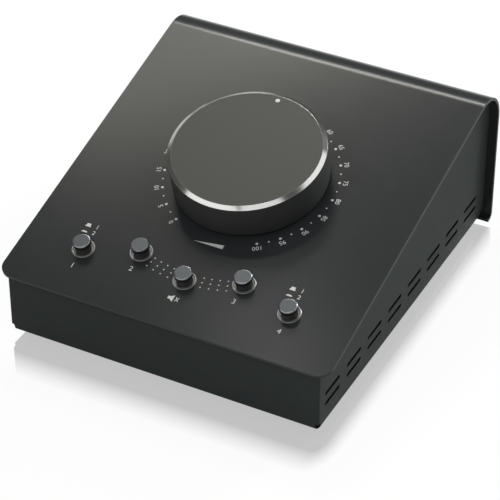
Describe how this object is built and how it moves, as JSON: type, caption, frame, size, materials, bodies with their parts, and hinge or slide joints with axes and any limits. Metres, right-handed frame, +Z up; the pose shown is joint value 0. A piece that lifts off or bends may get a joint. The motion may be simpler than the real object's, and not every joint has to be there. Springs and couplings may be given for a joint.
{
  "type": "studio monitor controller",
  "caption": "Desktop wedge-shaped monitor controller with a large volume knob and a row of push buttons on its sloped lid, and audio sockets on the rear panel.",
  "frame": {"origin": "on the desk plane under the middle of the object's footprint", "axes": "+X to the user's right, +Y to the back (rear panel), +Z up"},
  "size_m": [0.14, 0.1612, 0.0733],
  "materials": {
    "painted_sheet": "fine satin black paint",
    "knob_plastic": "satin",
    "knob_metal": "anodised satin face, polished cut chamfer",
    "dot_paint": "matte white",
    "button_plastic": "satin dark grey",
    "collar_plastic": "semi-gloss black",
    "switch_plastic": "matte black",
    "plunger_plastic": "matte white",
    "socket_plastic": "satin black",
    "plated_steel": "zinc plated",
    "nickel": "nickel plated",
    "tinned_pins": "tinned",
    "board_laminate": "green solder mask",
    "ribbon_jacket": "grey",
    "foot_rubber": "matte black"
  },
  "bodies": {
    "case": {"base_screws": "plated_steel", "board_screws": "plated_steel", "board_standoffs": "plated_steel", "chassis_tray": "painted_sheet", "clinch_nuts": "plated_steel", "combo_screws": "plated_steel", "control_board": "board_laminate", "control_header": "switch_plastic", "dim_collar": "collar_plastic", "dim_switch": "switch_plastic", "front_left_foot": "foot_rubber", "front_right_foot": "foot_rubber", "jack_nuts": "nickel", "jack_washers": "nickel", "lid_hooks": "plated_steel", "mini_jack": "socket_plastic", "mini_jack_nut": "nickel", "monitor_a_left_jack": "socket_plastic", "monitor_a_right_jack": "socket_plastic", "monitor_b_left_jack": "socket_plastic", "monitor_b_right_jack": "socket_plastic", "monitor_collar": "collar_plastic", "monitor_switch": "switch_plastic", "mono_collar": "collar_plastic", "mono_switch": "switch_plastic", "mute_collar": "collar_plastic", "mute_switch": "switch_plastic", "pot_bushing": "nickel", "pot_housing": "switch_plastic", "pot_nut": "nickel", "pot_pins": "tinned_pins", "pot_washer": "nickel", "rear_board": "board_laminate", "rear_header": "switch_plastic", "rear_left_foot": "foot_rubber", "rear_right_foot": "foot_rubber", "ribbon_cable": "ribbon_jacket", "socket_pins": "tinned_pins", "source_collar": "collar_plastic", "source_left_combo": "socket_plastic", "source_right_combo": "socket_plastic", "source_switch": "switch_plastic", "switch_pins": "tinned_pins", "top_cover": "painted_sheet"},
    "volume_knob": {"knob_body": "knob_plastic", "knob_face": "knob_metal", "indicator_dot": "dot_paint", "boss_ring": "plated_steel", "pot_shaft": "plated_steel"},
    "source_button": {"source_cap": "button_plastic", "source_plunger": "plunger_plastic"},
    "mono_button": {"mono_cap": "button_plastic", "mono_plunger": "plunger_plastic"},
    "mute_button": {"mute_cap": "button_plastic", "mute_plunger": "plunger_plastic"},
    "dim_button": {"dim_cap": "button_plastic", "dim_plunger": "plunger_plastic"},
    "monitor_button": {"monitor_cap": "button_plastic", "monitor_plunger": "plunger_plastic"}
  },
  "joints": [
    {"name": "volume_turn", "type": "hinge", "parent": "case", "child": "volume_knob", "pos_m": [0, -0.00407, 0.05046], "axis": [0, -0.2482, 0.9687], "range_deg": [-150, 150]},
    {"name": "source_press", "type": "slide", "parent": "case", "child": "source_button", "axis": [0, -0.2482, 0.9687], "range_m": [-0.0025, 0], "stiffness_N_per_m": 600, "springref_m": 0.0015},
    {"name": "mono_press", "type": "slide", "parent": "case", "child": "mono_button", "axis": [0, -0.2482, 0.9687], "range_m": [-0.0025, 0], "stiffness_N_per_m": 600, "springref_m": 0.0015},
    {"name": "mute_press", "type": "slide", "parent": "case", "child": "mute_button", "axis": [0, -0.2482, 0.9687], "range_m": [-0.0025, 0], "stiffness_N_per_m": 600, "springref_m": 0.0015},
    {"name": "dim_press", "type": "slide", "parent": "case", "child": "dim_button", "axis": [0, -0.2482, 0.9687], "range_m": [-0.0025, 0], "stiffness_N_per_m": 600, "springref_m": 0.0015},
    {"name": "monitor_press", "type": "slide", "parent": "case", "child": "monitor_button", "axis": [0, -0.2482, 0.9687], "range_m": [-0.0025, 0], "stiffness_N_per_m": 600, "springref_m": 0.0015}
  ]
}
